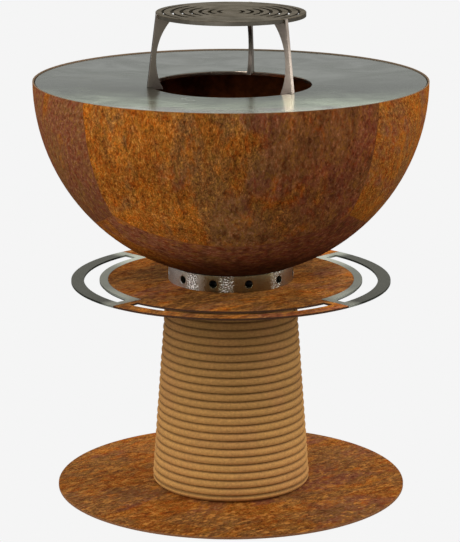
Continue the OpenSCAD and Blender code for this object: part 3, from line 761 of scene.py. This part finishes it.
def sooty_iron(name):
    """Raw cast iron of the grate, sooty and a little rusted."""
    material, tree, shader = new_finish(name, gloss=0.3)
    where = place(tree)
    sand = speckle(tree, where, 380.0, 3, 0.7)
    rust = spread(tree, speckle(tree, where, 26.0, 4, 0.6), 0.55, 0.72, 0.0, 0.5)
    body = shade(tree, mixed(tree, rust, GRATE_IRON, GRATE_RUST), spread(tree, sand, *CLOUDY, 0.8, 1.2))
    cover(tree, shader, body, 0.85, relief(tree, sand, 0.0005))
    return material


def turned_metal(name, colour, rough=0.35):
    """Bright turned metal of the bearings and the fasteners."""
    material, tree, shader = new_finish(name, metal=1.0)
    marks = speckle(tree, stretched(tree, place(tree), 60.0, 60.0, 900.0), 1.0, 2, 0.5)
    put(tree, shader.inputs["Base Color"], shade(tree, colour, spread(tree, marks, *MIDDLING, 0.9, 1.08)))
    put(tree, shader.inputs["Roughness"], spread(tree, marks, *MIDDLING, rough - 0.06, rough + 0.06))
    return material


# Meshes


def lathed(name, outlines, body, node, material):
    """Joins closed outlines of (radius, height), one for each step round Z, into one closed piece."""
    mesh = bpy.data.meshes.new(name)
    build = bmesh.new()
    steps = len(outlines)
    rings = []
    for i, outline in enumerate(outlines):
        angle = 2 * math.pi * i / steps
        rings.append([build.verts.new((r * math.cos(angle), r * math.sin(angle), z)) for r, z in outline])
    for i, here in enumerate(rings):
        there = rings[(i + 1) % steps]
        for k in range(len(here)):
            j = (k + 1) % len(here)
            build.faces.new((here[k], there[k], there[j], here[j]))
    bmesh.ops.recalc_face_normals(build, faces=build.faces)
    for face in build.faces:
        face.smooth = True
    build.to_mesh(mesh)
    build.free()
    piece = bpy.data.objects.new(name, mesh)
    bpy.context.scene.collection.objects.link(piece)
    mesh.materials.append(material)
    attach(piece, body)
    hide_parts(node)


def wandering(angle, layer, turns, climb, shift=0.0):
    """Smooth noise round the pedestal, a little different from layer to layer."""
    return noise.noise(Vector((turns * math.cos(angle), turns * math.sin(angle), climb * layer + shift)))


def pedestal_outline(sizes, base_top, angle):
    """Outline of the pedestal's wall at one angle: its rounded layers, its top and its plain inner side."""
    seams = [0.0]
    for layer in range(sizes.layers):
        seams.append(seams[-1] + (sizes.low_layer_height if layer < LOW_LAYERS else sizes.layer_height))
    height = seams[-1]
    outline = []
    for layer in range(sizes.layers):
        wander = sizes.wander * (wandering(angle, layer, 3, 1.7) + 0.5 * wandering(angle, layer, 9, 2.3, 40))
        for k in range(BULGE_STEPS):
            t = k / BULGE_STEPS
            z = seams[layer] + t * (seams[layer + 1] - seams[layer])
            off = abs(2 * t - 1)
            crest = sizes.foot_radius + (sizes.top_radius - sizes.foot_radius) * z / height
            r = crest - sizes.groove * off ** 2 - SEAM_BITE * off ** 14 + wander * (1 - off ** 4)
            if layer == 0:
                r -= sizes.foot_inset * (1 - t) ** 2
            outline.append((r, base_top + z))
    outline.append((sizes.top_radius - sizes.groove, base_top + height))
    outline.append((sizes.top_radius - sizes.wall, base_top + height))
    outline.append((sizes.foot_radius - sizes.wall, base_top))
    return outline


# Operators


class FIREPIT_OT_studio(bpy.types.Operator):
    """Adds the camera, the pale floor, the soft boxes and the studio's own soft light"""

    bl_idname = "firepit.studio"
    bl_label = "Set Up the Studio"

    def execute(self, context):
        scene = context.scene
        studio = scene.fire_pit_studio
        scene.view_settings.view_transform = "Standard"
        scene.view_settings.look = "None"
        self.add_camera(scene)
        self.add_floor(scene, studio)
        self.add_boxes(scene, studio)
        self.add_fill(scene, studio)
        return {"FINISHED"}

    def add_camera(self, scene):
        data = bpy.data.cameras.new("Camera")
        data.lens = CAMERA_LENS
        data.sensor_width = CAMERA_SENSOR
        data.shift_x = CAMERA_SHIFT
        data.clip_end = VIEW_END
        camera = bpy.data.objects.new("Camera", data)
        camera.location = CAMERA_PLACE
        camera.rotation_euler = (math.pi / 2 - CAMERA_TILT, 0, 0)
        scene.collection.objects.link(camera)
        scene.camera = camera

    def add_floor(self, scene, studio):
        mesh = bpy.data.meshes.new("Floor")
        build = bmesh.new()
        bmesh.ops.create_circle(build, cap_ends=True, radius=FLOOR_RADIUS, segments=FLOOR_SIDES)
        build.to_mesh(mesh)
        build.free()
        floor = bpy.data.objects.new("Floor", mesh)
        floor.location = (0, 0, -FLOOR_DROP)
        scene.collection.objects.link(floor)
        material = bpy.data.materials.new("Pale floor")
        material.use_nodes = True
        tree = material.node_tree
        tree.nodes.clear()
        glow = tree.nodes.new("ShaderNodeEmission")
        glow.inputs["Color"].default_value = (*studio.backdrop, 1)
        out = tree.nodes.new("ShaderNodeOutputMaterial")
        tree.links.new(glow.outputs[0], out.inputs["Surface"])
        mesh.materials.append(material)
        floor.visible_diffuse = False
        floor.visible_glossy = False
        floor.visible_shadow = False

    def add_boxes(self, scene, studio):
        """Soft boxes, each turned by its degrees from the front. The side boxes leave out the two flat tops,
        which would mirror them as plain white."""
        tops = bpy.data.collections.new("Tops without side light")
        for node in ("cooking_plate", "trivet_plate"):
            tops.objects.link(NODES[node])
        for member in tops.collection_objects:
            member.light_linking.link_state = "EXCLUDE"
        for name, power, turn, away, height, width, tall, leaves_out in (
            ("Left box", studio.left_power, -76, 4.2, 2.1, 1.3, 2.6, tops),
            ("Right box", studio.right_power, 88, 4.2, 2.1, 1.8, 2.6, tops),
            ("Front box", studio.front_power, -20, 5.2, 2.8, 1.8, 2.4, None),
        ):
            data = bpy.data.lights.new(name, "AREA")
            data.shape = "RECTANGLE"
            data.size = width
            data.size_y = tall
            data.energy = power
            light = bpy.data.objects.new(name, data)
            turn = math.radians(turn)
            light.location = (away * math.sin(turn), -away * math.cos(turn), height)
            light.rotation_euler = (LIGHTS_AIM - light.location).to_track_quat("-Z", "Y").to_euler()
            light.visible_camera = False
            light.light_linking.receiver_collection = leaves_out
            scene.collection.objects.link(light)

    def add_fill(self, scene, studio):
        """Soft light from all round: bright behind and above the object, dimmer in front and below."""
        world = bpy.data.worlds.new("Studio")
        scene.world = world
        world.use_nodes = True
        tree = world.node_tree
        background = tree.nodes["Background"]
        x, y, z = split(tree, tree.nodes.new("ShaderNodeTexCoord").outputs["Generated"])
        behind = times(tree, spread(tree, y, -0.1, 0.6), spread(tree, z, 0.135, 0.2, 0.05, 0.56))
        ahead = times(tree, spread(tree, y, -0.6, 0.0, 0.4, 0.15), spread(tree, z, -0.45, -0.2, 0.3, 1.0))
        sides = spread(tree, unsigned(tree, x), 0.3, 0.9, 0.0, 0.15)
        above = spread(tree, z, 0.3, 0.9, 0.0, 0.5)
        strength = times(tree, plus(tree, behind, ahead, sides, above), spread(tree, z, -0.4, -0.1, 0.6, 1.0),
                         studio.fill)
        put(tree, background.inputs["Strength"], strength)
        background.inputs["Color"].default_value = (1, 1, 1, 1)


class FIREPIT_OT_fire_bowl(bpy.types.Operator):
    """Gives the fire bowl its streaked rust"""

    bl_idname = "firepit.fire_bowl"
    bl_label = "Finish the Fire Bowl"

    def execute(self, context):
        colours = context.scene.fire_pit_colours
        low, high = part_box("fire_bowl")
        outer = (high.x - low.x) / 2
        give(bowl_rust("Streaked rust", colours, high.z, outer - BOWL_WALL), "fire_bowl")
        soften_edges("fire_bowl")
        return {"FINISHED"}


class FIREPIT_OT_discs(bpy.types.Operator):
    """Gives the base disc and the shelf ring their mottled rust"""

    bl_idname = "firepit.discs"
    bl_label = "Finish the Base Disc and the Shelf"

    def execute(self, context):
        colours = context.scene.fire_pit_colours
        # the front and right factors are painted light
        base = disc_rust("Base rust", colours, BASE_CUT, turn=40, seed=0, level=0.94, front=0.78, right=1.0,
                         patchy=0.0, draw=0.5)
        shelf = disc_rust("Shelf rust", colours, SHELF_CUT, turn=42, seed=4, level=1.2, front=0.88, right=1.6,
                          patchy=0.3, draw=0.4)
        give(base, "base_disc")
        give(shelf, "shelf_disc")
        soften_edges("base_disc", "shelf_disc")
        return {"FINISHED"}


class FIREPIT_OT_pedestal(bpy.types.Operator):
    """Builds the pedestal's printed layers and gives them their sandy finish"""

    bl_idname = "firepit.pedestal"
    bl_label = "Build the Printed Pedestal"

    def execute(self, context):
        sizes = context.scene.fire_pit_pedestal
        base_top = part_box("pedestal_shell")[0].z
        turns = (2 * math.pi * i / ROUND_STEPS for i in range(ROUND_STEPS))
        outlines = [pedestal_outline(sizes, base_top, turn) for turn in turns]
        first_seam = base_top + LOW_LAYERS * sizes.low_layer_height
        mineral = context.scene.fire_pit_colours.mineral
        finish = printed_mineral("Printed mineral", mineral, first_seam, sizes.layer_height)
        lathed("pedestal_layers", outlines, "stand", "pedestal_shell", finish)
        return {"FINISHED"}


class FIREPIT_OT_collar_and_handles(bpy.types.Operator):
    """Gives the vent collar and the two handles their stainless steel"""

    bl_idname = "firepit.collar_and_handles"
    bl_label = "Finish the Collar and the Handles"

    def execute(self, context):
        colours = context.scene.fire_pit_colours
        give(beaten_stainless("Sparkling stainless"), "vent_collar")
        give(handle_stainless("Brushed stainless", colours), "handle_left", "handle_right")
        soften_edges("vent_collar", "handle_left", "handle_right")
        return {"FINISHED"}


class FIREPIT_OT_cooking_plate(bpy.types.Operator):
    """Gives the cooking plate its seasoned satin steel"""

    bl_idname = "firepit.cooking_plate"
    bl_label = "Finish the Cooking Plate"

    def execute(self, context):
        colours = context.scene.fire_pit_colours
        # the plate's lighter front and darker rear are a painted reflection, and its hole wall is a painted
        # highlight
        seasoned = satin_steel("Seasoned plate", colours.plate, 0.2, 0.1, stain=PLATE_STAIN, painted_reflection=5.4,
                               edge=PLATE_WALL_HIGHLIGHT)
        give(seasoned, "cooking_plate")
        soften_edges("cooking_plate")
        return {"FINISHED"}


class FIREPIT_OT_trivet(bpy.types.Operator):
    """Gives the trivet and its legs their oiled steel"""

    bl_idname = "firepit.trivet"
    bl_label = "Finish the Trivet"

    def execute(self, context):
        colours = context.scene.fire_pit_colours
        legs = ("leg_left", "leg_right", "leg_rear")
        oiled = satin_steel("Oiled steel", colours.trivet, 0.34, 0.5, stain=TRIVET_STAIN, edge=TRIVET_EDGE,
                            per_metre=20.0, sheen=TRIVET_SHEEN)
        give(oiled, "trivet_plate")
        # the legs' brightness is painted light
        give(satin_steel("Leg steel", colours.legs, 0.36, 0.14, level=leg_painted_light), *legs)
        soften_edges("trivet_plate", *legs)
        return {"FINISHED"}


class FIREPIT_OT_fire_basket(bpy.types.Operator):
    """Gives the grate and the hanger rods their sooty iron, and the ash pan and its hoop their painted steel
    """

    bl_idname = "firepit.fire_basket"
    bl_label = "Finish the Fire Basket"

    def execute(self, context):
        give(sooty_iron("Sooty iron"), "fire_grate", "hanger_rods")
        give(painted_steel("Ash pan steel", PAN_STEEL, 0.6), "ash_pan", "pan_hoop")
        soften_edges("fire_grate")
        return {"FINISHED"}


class FIREPIT_OT_steelwork(bpy.types.Operator):
    """Gives the column, the air drum, the straps, the bearing and the fasteners their finishes"""

    bl_idname = "firepit.steelwork"
    bl_label = "Finish the Steelwork"

    def execute(self, context):
        give(painted_steel("Black steelwork", BLACK_STEEL), "foot_flange", "foot_gussets", "column_tube",
             "column_cap", "head_flange", "hub_ring", "bowl_seat", "plate_lugs", "strap_left", "strap_right")
        give(turned_metal("Drum steel", DRUM_STEEL, 0.45), "air_drum")
        give(turned_metal("Bearing bronze", BEARING_BRONZE), "slide_ring")
        give(turned_metal("Fastener steel", FASTENER_STEEL, 0.3), "foot_bolts", "foot_nuts", "head_bolts",
             "stop_pin", "drum_screws", "bowl_bolts", "strap_screws")
        return {"FINISHED"}


class FIREPIT_PT_panel(bpy.types.Panel):
    """Sidebar panel with the fire pit's steps, sizes and colours"""

    bl_label = "Fire Pit"
    bl_idname = "FIREPIT_PT_panel"
    bl_space_type = "VIEW_3D"
    bl_region_type = "UI"
    bl_category = "Fire Pit"

    def draw(self, context):
        layout = self.layout
        for operator in OPERATORS:
            layout.operator(operator.bl_idname)
        scene = context.scene
        for group in (scene.fire_pit_colours, scene.fire_pit_pedestal, scene.fire_pit_studio):
            box = layout.box()
            for name in group.__annotations__:
                box.prop(group, name)


OPERATORS = (
    FIREPIT_OT_studio,
    FIREPIT_OT_fire_bowl,
    FIREPIT_OT_discs,
    FIREPIT_OT_pedestal,
    FIREPIT_OT_collar_and_handles,
    FIREPIT_OT_cooking_plate,
    FIREPIT_OT_trivet,
    FIREPIT_OT_fire_basket,
    FIREPIT_OT_steelwork,
)
CLASSES = (FirePitColours, FirePitPedestal, FirePitStudio, *OPERATORS, FIREPIT_PT_panel)


def register():
    """Makes the settings, the operators and the panel known to Blender."""
    for kind in CLASSES:
        bpy.utils.register_class(kind)
    bpy.types.Scene.fire_pit_colours = bpy.props.PointerProperty(type=FirePitColours)
    bpy.types.Scene.fire_pit_pedestal = bpy.props.PointerProperty(type=FirePitPedestal)
    bpy.types.Scene.fire_pit_studio = bpy.props.PointerProperty(type=FirePitStudio)


def unregister():
    """Takes back what register did."""
    del bpy.types.Scene.fire_pit_studio
    del bpy.types.Scene.fire_pit_pedestal
    del bpy.types.Scene.fire_pit_colours
    for kind in reversed(CLASSES):
        bpy.utils.unregister_class(kind)


def main():
    """Dresses the fire pit: registers the settings, then runs each operator in turn."""
    register()
    bpy.ops.firepit.studio()
    bpy.ops.firepit.fire_bowl()
    bpy.ops.firepit.discs()
    bpy.ops.firepit.pedestal()
    bpy.ops.firepit.collar_and_handles()
    bpy.ops.firepit.cooking_plate()
    bpy.ops.firepit.trivet()
    bpy.ops.firepit.fire_basket()
    bpy.ops.firepit.steelwork()


if __name__ == "__main__":
    main()
